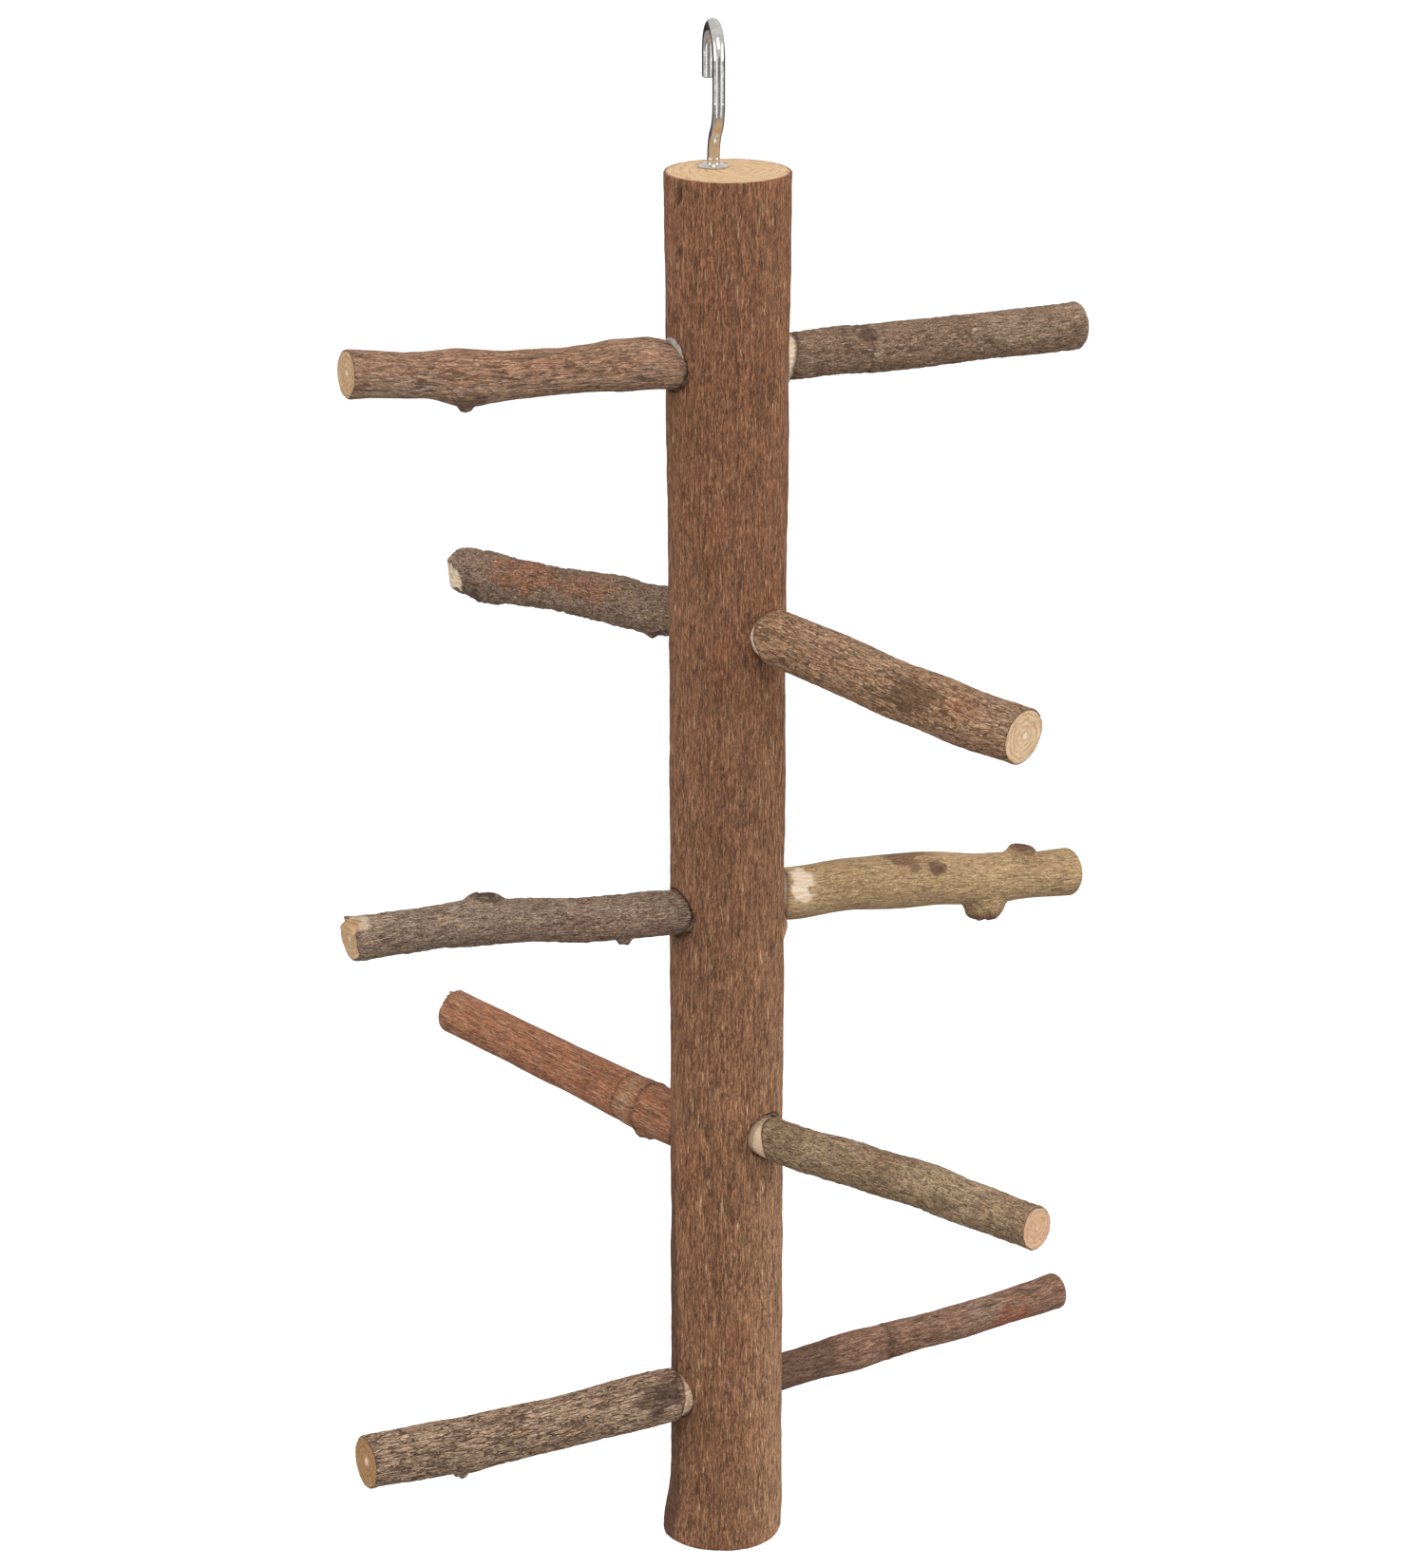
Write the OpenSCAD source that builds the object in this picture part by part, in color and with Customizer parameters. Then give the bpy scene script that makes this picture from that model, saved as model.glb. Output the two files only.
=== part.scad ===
// Hanging perch tower: a bark-on pole carries ten natural perches in five tiers and hangs from a
// question-mark screw hook. Each perch has a whittled tenon glued into its own blind socket.
// Millimetres, +Z up. The origin is the underside of the hook's crown, where the tower hangs.
// The front looks along -Y, so left is -X and right is +X.

/* [Pole] */
// Length of the pole between its two sawn ends
pole_h = 400; // [390:5:440]
// Diameter over the bark at the top
pole_top_d = 34; // [33:0.5:36]
// Diameter over the bark along the waist
pole_waist_d = 32; // [31:0.5:33]
// Diameter over the bark at the foot, where the branch flares
pole_foot_d = 33.6; // [32:0.2:36]
// Width of the broken edge round each sawn end
pole_edge = 0.5; // [0.2:0.1:1]

/* [Perches] */
// Diameter of the whittled tenon, less on a perch that is thinner than this
tenon_d = 12; // [10:0.5:12]
// How deep each socket goes below the bark
socket_depth = 12; // [9:0.5:12]
// Clear depth left between a tenon's end and the bottom of its socket
socket_spare = 0.5; // [0.3:0.1:1]
// Length added to every perch
reach_extra = 0; // [-10:1:20]
// Length of the whittled shoulder between tenon and bark
shoulder = 3; // [2:0.5:5]

/* [Glue] */
// Thickness of the glue film round a tenon
glue_film = 0.2; // [0.1:0.05:0.3]
// How far the squeezed-out bead stands outside the socket's mouth
glue_bead = 1; // [0.5:0.1:1.5]

/* [Hook] */
// Wire diameter
wire_d = 3.4; // [3:0.1:3.8]
// Radius of the hook's loop, to the middle of the wire
loop_r = 8; // [7.5:0.5:9]
// Height of the hook's loop centre above the top of the pole
loop_h = 29.7; // [28:0.1:34]
// How far the free end comes down below the loop's centre
tail_l = 7.2; // [5:0.2:9]
// Radius of the two bends in the swan neck
neck_r = 10; // [8:0.5:12]
// Height of the straight neck above the collar
neck_h = 1.2; // [1:0.1:2]
// Turn of the hook's plane away from straight to the front
hook_turn = 10; // [-30:5:30]
// Place of the screw to the right of the pole's centre
screw_x = -3.8; // [-6:0.2:6]
// Place of the screw behind the pole's centre
screw_y = 5.6; // [-6:0.2:6]

/* [Screw and collar] */
// Rise of the thread in one turn
thread_pitch = 1.6; // [1.4:0.1:2]
// Number of turns that hold in the wood
thread_turns = 10; // [8:1:12]
// Core diameter of the thread
thread_core_d = 2.4; // [2:0.1:2.6]
// Radial running clearance round the wire, in the collar and in the pole
fit_gap = 0.05; // [0.02:0.01:0.1]
// Outside diameter of the collar
collar_d = 8.5; // [8:0.1:10]
// Thickness of the collar
collar_t = 1; // [0.8:0.1:1.5]

/* [Hidden] */

round_fn = 48;
wire_r = wire_d / 2;
thread_l = thread_pitch * thread_turns;
screw_tip = 2;
bore_spare = 1.5;
pole_top_z = wire_r - loop_r - loop_h;
pole_x = -screw_x;
pole_y = -screw_y;
// Radius of the pole against depth below its top
pole_profile = [[0, pole_top_d / 2], [60, pole_top_d / 2 - 0.5], [140, pole_waist_d / 2],
    [pole_h - 70, pole_waist_d / 2], [pole_h, pole_foot_d / 2]];
function pole_r(depth) = lookup(depth, pole_profile);

// Rings and sides of a perch's body
perch_rings = 20;
perch_sides = 20;
// Depth of the rounding on a perch's worn tip, as a share of its radius
tip_round = 0.5;
// Break round a perch's sawn tip
tip_break = 0.6;
// Stand-off between the bark of the pole and the end of a perch's body
body_gap = 1.2;
// Step between a tenon and the shoulder whittled above it
tenon_step = 0.3;

// One row for each perch:
// [depth of its socket below the pole's top, heading, upward tilt, reach from the pole's centre,
//  butt diameter, tip diameter, upward bow, oval phase, worn round tip, side-twig stubs]
// Heading is anticlockwise from +X. A stub is [place along the perch, way round it where 90 is up,
// height above the bark, base radius, top radius].
PERCHES = [
    [52.5, 205, 4, 109.3, 13.4, 12.8, -1, 20, false, [[77, 275, 2.6, 3.6, 2.2], [27, 80, 0.9, 6, 3.5]]],
    [52.5, 25, 0, 108.4, 13, 13.1, 0.2, 75, true, []],
    [124, 136, -4, 110, 13.4, 12.8, 0, 40, true, [[28, 262, 1.6, 3.2, 1.6], [95, 95, 1.2, 6, 3]]],
    [124, -44, -5, 106.8, 15.6, 16, -0.4, 10, false, []],
    [208, 206, 5, 113.5, 12.8, 12.4, 0.6, 60, false, [[74, 92, 1.8, 5, 4.2], [32, 265, 1.5, 2.4, 1.2]]],
    [204, 26, -5, 112.7, 15, 13.6, 0.8, 30, true, [[82, 268, 4, 5.5, 3.4], [95, 85, 1.4, 4.5, 2.6]]],
    [280, 138, 6.5, 110, 15.4, 13.1, 0, 50, false, [[28, 262, 1.4, 4, 2.4]]],
    [272, -42, 0.5, 111.6, 12.8, 12.6, 1.4, 15, false, [[79, 80, 0.8, 6, 3]]],
    [355, 210, 2, 115.8, 15.2, 15.6, -0.8, 70, false, [[86, 268, 1.6, 4, 2]]],
    [355.5, 30, 1.5, 116.2, 10.9, 10.6, -0.6, 35, true, []]
];
function perch_depth(p) = p[0];
function perch_heading(p) = p[1];
function perch_tilt(p) = p[2];
function perch_reach(p) = p[3] + reach_extra;
function perch_butt_r(p) = p[4] / 2;
function perch_tip_r(p) = p[5] / 2;
function perch_bow(p) = p[6];
function perch_phase(p) = p[7];
function perch_worn(p) = p[8];
function perch_stubs(p) = p[9];

function tenon_r(p) = min(tenon_d / 2, perch_butt_r(p) - 0.4);
function socket_r() = tenon_d / 2 + glue_film;
function socket_floor(p) = pole_r(perch_depth(p)) - socket_depth;
function body_start(p) = pole_r(perch_depth(p)) + body_gap;
function tip_length(p) = perch_worn(p) ? perch_tip_r(p) * tip_round : tip_break;

// Share of the way from the body's start to its tip
function along(p, s) = (s - body_start(p)) / (perch_reach(p) - body_start(p));
// Height of the bowed centre line above the straight axis
function bow_at(p, s) = perch_bow(p) * sin(180 * along(p, s));
// Bark radius before the ends are shaped, with the slow swelling of a grown branch
function bark_r(p, s) =
    perch_butt_r(p) + (perch_tip_r(p) - perch_butt_r(p)) * along(p, s)
    + 0.18 * sin(830 * along(p, s) + 5 * perch_phase(p));
// The shoulder widens from the tenon to the bark, and the tip closes in a break or a dome
function shoulder_r(p, s) =
    let (share = min(1, (s - body_start(p)) / shoulder))
    (tenon_r(p) + tenon_step) * (1 - share) + bark_r(p, s) * share;
function tip_share(p, s) =
    let (past = max(0, (s - perch_reach(p)) / tip_length(p) + 1))
    perch_worn(p) ? max(0.4, sqrt(max(0, 1 - past * past))) : 1 - past * tip_break / perch_tip_r(p);
function body_r(p, s) = shoulder_r(p, s) * tip_share(p, s);
// Places of the rings: the shoulder, even steps along the bark, then the tip
function ring_places(p) =
    let (from = body_start(p), bark_end = perch_reach(p) - tip_length(p))
    concat([from],
        [for (i = [0:perch_rings]) from + shoulder + (bark_end - from - shoulder) * i / perch_rings],
        perch_worn(p) ? [bark_end + tip_length(p) * 0.5, bark_end + tip_length(p) * 0.8] : [],
        [perch_reach(p)]);
// A slightly oval ring of points round the bowed centre line
function ring(p, s) = [for (j = [0:perch_sides - 1])
    let (a = 360 * j / perch_sides, r = body_r(p, s) * (1 + 0.02 * cos(2 * a + perch_phase(p))))
    [s, r * cos(a), r * sin(a) + bow_at(p, s)]];

// Carries a perch's own frame, X out along the perch, to its place on the pole
module at_perch(p) {
    translate([pole_x, pole_y, pole_top_z - perch_depth(p)])
        rotate([0, 0, perch_heading(p)])
            rotate([0, -perch_tilt(p), 0])
                children();
}

// A true cylinder along a perch's axis
module along_perch(from, to, r) {
    translate([from, 0, 0])
        rotate([0, 90, 0])
            cylinder(h = to - from, r = r, $fn = round_fn);
}

// The cut-off base of a side twig
module stub(p, t) {
    translate([t[0], 0, bow_at(p, t[0])])
        rotate([t[1] - 90, 0, 0])
            cylinder(h = bark_r(p, t[0]) + t[2], r1 = t[3], r2 = t[4], $fn = 10);
}

module perch_body(p) {
    places = ring_places(p);
    last = len(places) - 1;
    n = perch_sides;
    points = [for (s = places) each ring(p, s)];
    sides = [for (i = [0:last - 1], j = [0:n - 1])
        let (a = i * n + j, b = i * n + (j + 1) % n)
        each [[a, a + n, b + n], [a, b + n, b]]];
    butt = [for (j = [0:n - 1]) j];
    tip = [for (j = [n - 1:-1:0]) last * n + j];
    polyhedron(points, concat([butt], sides, [tip]));
}

module perch(p, bark) {
    color(bark)
        at_perch(p) {
            perch_body(p);
            along_perch(socket_floor(p) + socket_spare, body_start(p) + shoulder, tenon_r(p));
            for (t = perch_stubs(p))
                stub(p, t);
        }
}

// The pole as a plain turned blank, without its sockets
module pole_blank() {
    turned = concat([[0, 0], [pole_r(0) - pole_edge, 0], [pole_r(0), -pole_edge]],
        [for (k = [1:len(pole_profile) - 2]) [pole_profile[k][1], -pole_profile[k][0]]],
        [[pole_r(pole_h), pole_edge - pole_h], [pole_r(pole_h) - pole_edge, -pole_h], [0, -pole_h]]);
    translate([pole_x, pole_y, pole_top_z])
        rotate_extrude($fn = 96)
            polygon(turned);
}

module pole() {
    color("#8a6048")
        difference() {
            pole_blank();
            for (p = PERCHES)
                at_perch(p)
                    along_perch(socket_floor(p), body_start(p) + shoulder, socket_r());
            translate([0, 0, pole_top_z - thread_l - screw_tip - bore_spare])
                cylinder(h = thread_l + screw_tip + bore_spare + 1, r = wire_r + fit_gap, $fn = round_fn);
        }
}

// The film round a tenon, and the bead squeezed out between the bark and the shoulder
module glue(p) {
    slip = 0.02;
    color("#d9d2c0")
        difference() {
            union() {
                at_perch(p)
                    along_perch(socket_floor(p) + slip, body_start(p) - slip, socket_r() - slip);
                difference() {
                    at_perch(p)
                        along_perch(socket_floor(p) + socket_depth / 2, body_start(p) - slip,
                            socket_r() + glue_bead);
                    pole_blank();
                }
            }
            at_perch(p)
                along_perch(socket_floor(p) - 1, body_start(p) + 1, tenon_r(p) + slip);
        }
}

module perch_1_left() { perch(PERCHES[0], "#8b5e49"); }
module perch_1_right() { perch(PERCHES[1], "#7d6353"); }
module perch_2_left() { perch(PERCHES[2], "#816b5d"); }
module perch_2_right() { perch(PERCHES[3], "#86705a"); }
module perch_3_left() { perch(PERCHES[4], "#7f6f63"); }
module perch_3_right() { perch(PERCHES[5], "#ac937b"); }
module perch_4_left() { perch(PERCHES[6], "#8a6654"); }
module perch_4_right() { perch(PERCHES[7], "#84745b"); }
module perch_5_left() { perch(PERCHES[8], "#8a7464"); }
module perch_5_right() { perch(PERCHES[9], "#7f5f4e"); }

module glue_1_left() { glue(PERCHES[0]); }
module glue_1_right() { glue(PERCHES[1]); }
module glue_2_left() { glue(PERCHES[2]); }
module glue_2_right() { glue(PERCHES[3]); }
module glue_3_left() { glue(PERCHES[4]); }
module glue_3_right() { glue(PERCHES[5]); }
module glue_4_left() { glue(PERCHES[6]); }
module glue_4_right() { glue(PERCHES[7]); }
module glue_5_left() { glue(PERCHES[8]); }
module glue_5_right() { glue(PERCHES[9]); }

// A bend of the wire in the XZ plane, centred on the origin
module wire_bend(r, from, sweep) {
    rotate([90, 0, 0])
        rotate([0, 0, from])
            rotate_extrude(angle = sweep, $fn = 96)
                translate([r, 0])
                    circle(r = wire_r, $fn = round_fn);
}

// A ball a hair wider than the wire, which closes the joint between two stretches of it
module wire_joint() {
    sphere(r = wire_r + 0.03, $fn = round_fn);
}

// The screw below the wood and the plain neck above it, turned as one profile
module hook_stem(top) {
    core_r = thread_core_d / 2;
    crest = thread_pitch / 8;
    ridges = [for (i = [0:thread_turns - 1])
        let (z = -(i + 0.5) * thread_pitch)
        each [[core_r, z + thread_pitch * 0.42], [wire_r, z + crest], [wire_r, z - crest],
            [core_r, z - thread_pitch * 0.42]]];
    turned = concat([[0, top], [wire_r, top], [wire_r, 0.1], [core_r, 0]], ridges,
        [[core_r, -thread_l], [0, -thread_l - screw_tip]]);
    rotate_extrude($fn = round_fn)
        polygon(turned);
}

// The free end of the wire, cut square with its edge broken
module hook_tail() {
    edge = 0.4;
    rotate_extrude($fn = round_fn)
        polygon([[0, 0], [wire_r, 0], [wire_r, edge - tail_l], [wire_r - edge, -tail_l], [0, -tail_l]]);
}

module screw_hook() {
    sweep = acos(1 - loop_r / (2 * neck_r));
    neck_top = collar_t + neck_h;
    strand = neck_top + 2 * neck_r * sin(sweep);
    color("silver")
        rotate([0, 0, hook_turn - 90])
            translate([0, 0, pole_top_z]) {
                hook_stem(neck_top);
                for (at = [[0, neck_top], [loop_r / 2, (neck_top + strand) / 2], [loop_r, strand]])
                    translate([at[0], 0, at[1]])
                        wire_joint();
                translate([neck_r, 0, neck_top])
                    wire_bend(neck_r, 180 - sweep, sweep);
                translate([loop_r - neck_r, 0, strand])
                    wire_bend(neck_r, -sweep, sweep);
                translate([loop_r, 0, strand])
                    cylinder(h = loop_h - strand, r = wire_r, $fn = round_fn);
                translate([0, 0, loop_h])
                    wire_bend(loop_r, 0, 180);
                translate([-loop_r, 0, loop_h])
                    hook_tail();
            }
}

// A thin dished disc, loose on the wire, that the hook pulls down on the wood
module hook_collar() {
    hole_r = wire_r + fit_gap;
    rim_r = collar_d / 2;
    color("silver")
        translate([0, 0, pole_top_z])
            rotate_extrude($fn = round_fn)
                polygon([[hole_r, 0], [rim_r - 0.2, 0], [rim_r, 0.2], [rim_r, 0.45], [rim_r - 0.3, 0.65],
                    [hole_r + 1.1, collar_t], [hole_r, collar_t]]);
}

pole();
perch_1_left();
perch_1_right();
perch_2_left();
perch_2_right();
perch_3_left();
perch_3_right();
perch_4_left();
perch_4_right();
perch_5_left();
perch_5_right();
glue_1_left();
glue_1_right();
glue_2_left();
glue_2_right();
glue_3_left();
glue_3_right();
glue_4_left();
glue_4_right();
glue_5_left();
glue_5_right();
screw_hook();
hook_collar();
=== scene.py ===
"""Looks of a hanging perch tower: a bark-on pole, ten glued-in natural perches and a bright screw hook.

Lengths inside the shape functions are in millimetres in a stick's own frame: s runs out along the stick,
and an angle goes round it. Everything becomes metres in the row's frame when a mesh is made.
"""
import math

import bpy
import numpy as np
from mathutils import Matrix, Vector


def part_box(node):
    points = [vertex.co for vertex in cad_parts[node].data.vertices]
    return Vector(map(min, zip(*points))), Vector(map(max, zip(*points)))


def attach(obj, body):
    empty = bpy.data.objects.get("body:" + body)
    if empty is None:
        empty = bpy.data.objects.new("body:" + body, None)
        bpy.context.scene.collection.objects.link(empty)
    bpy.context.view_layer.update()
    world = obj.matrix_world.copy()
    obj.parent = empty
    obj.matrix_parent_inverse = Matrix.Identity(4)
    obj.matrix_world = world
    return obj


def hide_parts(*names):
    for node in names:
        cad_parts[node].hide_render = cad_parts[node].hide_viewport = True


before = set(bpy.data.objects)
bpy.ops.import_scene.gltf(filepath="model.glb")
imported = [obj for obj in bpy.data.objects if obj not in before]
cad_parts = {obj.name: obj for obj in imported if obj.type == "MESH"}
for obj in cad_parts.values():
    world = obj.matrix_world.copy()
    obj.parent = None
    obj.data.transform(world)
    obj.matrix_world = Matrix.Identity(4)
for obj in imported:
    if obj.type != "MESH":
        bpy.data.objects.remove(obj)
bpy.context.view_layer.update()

MM = 0.001


# -------- numbers that vary smoothly

LATTICE = np.random.default_rng(7)
SHUFFLE = np.concatenate([LATTICE.permutation(256)] * 2)
SLOPES = LATTICE.normal(size=(256, 3))
SLOPES /= np.linalg.norm(SLOPES, axis=1, keepdims=True)


def noise(x, y, z, seed=0):
    """Gradient noise: random slopes at whole-number corners, blended by the fade 6t^5-15t^4+10t^3."""
    p = np.stack(np.broadcast_arrays(x, y, z), -1) + 31.7 * seed
    cell = np.floor(p).astype(int)
    t = p - cell
    fade = t ** 3 * (t * (t * 6 - 15) + 10)
    total = np.zeros(p.shape[:-1])
    for corner in np.ndindex(2, 2, 2):
        c = (cell + corner) & 255
        pick = SHUFFLE[SHUFFLE[SHUFFLE[c[..., 0]] + c[..., 1]] + c[..., 2]]
        weight = np.prod(np.where(corner, fade, 1 - fade), -1)
        total += weight * np.sum(SLOPES[pick] * (t - corner), -1)
    return total * 1.6


def layered(x, y, z, seed=0, octaves=4):
    """Noise plus itself at double the pitch and half the height, again and again."""
    return sum(noise(x * 2 ** k, y * 2 ** k, z * 2 ** k, seed + k) / 2 ** k for k in range(octaves))


def step(low, high, x):
    """0 below low, 1 above high, and the cubic 3t^2-2t^3 between."""
    t = np.clip((x - low) / (high - low), 0, 1)
    return t * t * (3 - 2 * t)


def bump(x, middle, half):
    """1 at the middle, falling to 0 at half a width away as the square of 1-d^2."""
    d = np.clip(np.abs(x - middle) / half, 0, 1)
    return (1 - d * d) ** 2


def through(x, points):
    """A curve through (place, value) points, easing between each pair by the cubic step."""
    value = np.full(np.shape(x), float(points[0][1]))
    for (x0, y0), (x1, y1) in zip(points, points[1:]):
        value = value + (y1 - y0) * step(x0, x1, x)
    return value


def apart(a, b):
    """Signed angle from b to a in degrees, between -180 and 180."""
    return (a - b + 180) % 360 - 180


# -------- meshes from grids

def angles(count):
    """Evenly spaced angles once round, in radians, the last one short of the first."""
    return np.linspace(0, 2 * math.pi, count, endpoint=False)


def place_mesh(name, points, faces):
    """A mesh object in the scene, from its points and the faces that join them."""
    mesh = bpy.data.meshes.new(name)
    mesh.from_pydata(points, [], faces)
    piece = bpy.data.objects.new(name, mesh)
    bpy.context.scene.collection.objects.link(piece)
    return piece


def smooth(piece):
    """Smooth shading over the whole piece."""
    faces = piece.data.polygons
    faces.foreach_set("use_smooth", np.ones(len(faces), bool))
    return piece


def write_field(mesh, field, value):
    """One number or vector per grid point; the fans' middles take the mean of their row."""
    rows, cols = value.shape[:2]
    value = value.reshape(rows, cols, -1)
    middles = np.concatenate([value[:1].mean(1), value[-1:].mean(1)])
    full = np.concatenate([value.reshape(rows * cols, -1), middles]).astype(np.float32)
    is_vector = full.shape[1] == 3
    layer = mesh.attributes.new(field, "FLOAT_VECTOR" if is_vector else "FLOAT", "POINT")
    layer.data.foreach_set("vector" if is_vector else "value", full.ravel())


def grid_mesh(name, points, fields):
    """A closed skin over a grid of rows (along) by columns (around), in metres.

    Each row is a closed loop, and a fan to the mean of the first and last rows shuts the two ends.
    """
    rows, cols, _ = points.shape
    verts = np.concatenate([points.reshape(-1, 3), points[:1].mean(1), points[-1:].mean(1)])
    i, j = np.meshgrid(np.arange(rows - 1), np.arange(cols), indexing="ij")
    k = (j + 1) % cols
    row, next_row = i * cols, (i + 1) * cols
    quads = np.stack([row + j, row + k, next_row + k, next_row + j], -1).reshape(-1, 4)
    j, k = j[0], k[0]
    start, end = rows * cols, rows * cols + 1
    last = (rows - 1) * cols
    fans = np.concatenate([np.stack([np.full(cols, start), k, j], -1),
                           np.stack([np.full(cols, end), last + j, last + k], -1)])
    piece = smooth(place_mesh(name, verts.tolist(), quads.tolist() + fans.tolist()))
    for field, value in fields.items():
        write_field(piece.data, field, value)
    piece.data.update()
    return piece


def ring_mesh(name, points):
    """A closed ring: both ways round a grid of points wrap."""
    rows, cols, _ = points.shape
    i, j = np.meshgrid(np.arange(rows), np.arange(cols), indexing="ij")
    i2, j2 = (i + 1) % rows, (j + 1) % cols
    quads = np.stack([i * cols + j, i2 * cols + j, i2 * cols + j2, i * cols + j2], -1).reshape(-1, 4)
    return smooth(place_mesh(name, points.reshape(-1, 3).tolist(), quads.tolist()))


# -------- materials

def tone(text):
    """A linear colour from a #rrggbb tone."""
    s = np.array([int(text[i:i + 2], 16) for i in (1, 3, 5)]) / 255
    linear = np.where(s <= 0.04045, s / 12.92, ((s + 0.055) / 1.055) ** 2.4)
    return (*linear, 1.0)


class Sheet:
    """A material's node tree, with short calls to add the nodes that a bark or wood finish needs."""

    def __init__(self, name):
        self.material = bpy.data.materials.new(name)
        self.material.use_nodes = True
        self.tree = self.material.node_tree
        self.shader = self.tree.nodes["Principled BSDF"]

    def add(self, kind, inputs=(), **settings):
        """A node of a kind, with its settings made and its sockets fed."""
        made = self.tree.nodes.new("ShaderNode" + kind)
        for key, value in settings.items():
            setattr(made, key, value)
        for key, value in dict(inputs).items():
            self.feed(made.inputs[key], value)
        return made

    def feed(self, socket, value):
        """Links another socket in, or sets a plain number or colour."""
        if isinstance(value, bpy.types.NodeSocket):
            self.tree.links.new(value, socket)
        else:
            socket.default_value = value

    def shade(self, **values):
        """Plain values on the shader's own sockets, with underscores for spaces."""
        for key, value in values.items():
            self.shader.inputs[key.replace("_", " ")].default_value = value

    def read(self, field):
        """One of the mesh's own fields, as a number."""
        return self.add("Attribute", attribute_name=field).outputs["Fac"]

    def sums(self, operation, a, b=0.0, c=0.0):
        return self.add("Math", {0: a, 1: b, 2: c}, operation=operation).outputs[0]

    def times(self, a, b):
        return self.sums("MULTIPLY", a, b)

    def stretch(self, vector, along, across, shift=0.0):
        """Places drawn out along the grain when along is less than across."""
        scaled = self.add("VectorMath", {0: vector, 1: (along, across, across)}, operation="MULTIPLY")
        return self.add("VectorMath", {0: scaled.outputs[0], 1: (shift, shift, shift)}).outputs[0]

    def cloud(self, vector, scale, detail=4.0, rough=0.6, distortion=0.0, out="Fac"):
        return self.add("TexNoise", {"Vector": vector, "Scale": scale, "Detail": detail, "Roughness": rough,
                                     "Distortion": distortion}).outputs[out]

    def range(self, value, low, high, to_low=0.0, to_high=1.0):
        """Eases from to_low at low to to_high at high."""
        return self.add("MapRange", {"Value": value, "From Min": low, "From Max": high, "To Min": to_low,
                                     "To Max": to_high}, interpolation_type="SMOOTHSTEP").outputs[0]

    def ramp(self, value, stops):
        made = self.add("ValToRGB", {"Fac": value})
        elements = made.color_ramp.elements
        while len(elements) < len(stops):
            elements.new(0.5)
        for element, (place, colour) in zip(elements, stops):
            element.position = place
            element.color = tone(colour)
        return made.outputs["Color"]

    def mix(self, share, a, b, blend="MIX"):
        """Colour b over colour a by a share. A colour is a socket or a #rrggbb tone."""
        made = self.add("Mix", data_type="RGBA", blend_type=blend)
        self.feed(made.inputs[0], share)
        self.feed(made.inputs[6], tone(a) if isinstance(a, str) else a)
        self.feed(made.inputs[7], tone(b) if isinstance(b, str) else b)
        return made.outputs[2]

    def over(self, colour, *layers):
        """Lays one (share, colour) after another over a colour."""
        for share, layer in layers:
            colour = self.mix(share, colour, layer)
        return colour

    def finish(self, colour, roughness, height=None):
        """Feeds the shader. Heights are in millimetres."""
        self.feed(self.shader.inputs["Base Color"], colour)
        self.feed(self.shader.inputs["Roughness"], roughness)
        if height is not None:
            relief = self.add("Bump", {"Height": height, "Strength": 1.0, "Distance": MM})
            self.feed(self.shader.inputs["Normal"], relief.outputs[0])
        return self.material


def sawn_colour(sheet, grain, wood, ring_gap, pith):
    """End grain: rings at a steady gap round the pith, fine pores, and the heart of another tone.

    pith is its place across the stick, its radius and how strongly it shows. Gives colour and height.
    """
    pith_y, pith_z, heart_r, heart_share = pith
    across = sheet.add("SeparateXYZ", {0: grain})
    dy = sheet.sums("SUBTRACT", across.outputs["Y"], pith_y)
    dz = sheet.sums("SUBTRACT", across.outputs["Z"], pith_z)
    away = sheet.sums("SQRT", sheet.sums("ADD", sheet.times(dy, dy), sheet.times(dz, dz)))
    wander = sheet.cloud(grain, 0.22, 3.0)
    turns = sheet.sums("MULTIPLY_ADD", away, 1 / ring_gap, sheet.times(wander, 2.2))
    late = sheet.range(sheet.sums("FRACT", turns), 0.5, 0.92)
    pores = sheet.cloud(grain, 2.4, 3.0, 0.7)
    patches = sheet.cloud(grain, 0.35, 3.0)
    colour = sheet.mix(sheet.range(patches, 0.35, 0.7), wood[0], wood[1])
    heart = sheet.range(away, heart_r, heart_r * 0.55)
    colour = sheet.over(
        colour,
        (sheet.times(late, sheet.range(patches, 0.3, 0.65, 0.75, 0.4)), wood[2]),
        (sheet.range(pores, 0.5, 0.72, 0.0, 0.7), wood[2]),
        (sheet.times(heart, heart_share), wood[3]))
    return colour, sheet.sums("MULTIPLY_ADD", late, 0.05, sheet.times(pores, 0.12))


def plate_net(sheet, short_grain, long_grain, strand, mottle, net):
    """A net of cracks between drawn-out plates of bark, and the paler lip beside each crack."""
    bent = sheet.cloud(short_grain, 0.9, 3.0, out="Color")
    bend = sheet.add("VectorMath", {0: bent, 1: (0.9, 0.9, 0.9)}, operation="MULTIPLY")
    plates = sheet.add("VectorMath", {0: long_grain, 1: bend.outputs[0]})
    edge = sheet.add("TexVoronoi", {"Vector": plates.outputs[0], "Scale": 0.85}, feature="DISTANCE_TO_EDGE")
    edge = edge.outputs["Distance"]
    crack = sheet.times(sheet.range(edge, 0.1, 0.03), sheet.range(strand, 0.36, 0.52, 0.15, net))
    lip = sheet.times(sheet.range(edge, 0.08, 0.12), sheet.range(edge, 0.22, 0.15))
    return crack, sheet.times(lip, sheet.range(mottle, 0.42, 0.56, 0.0, net))


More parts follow.
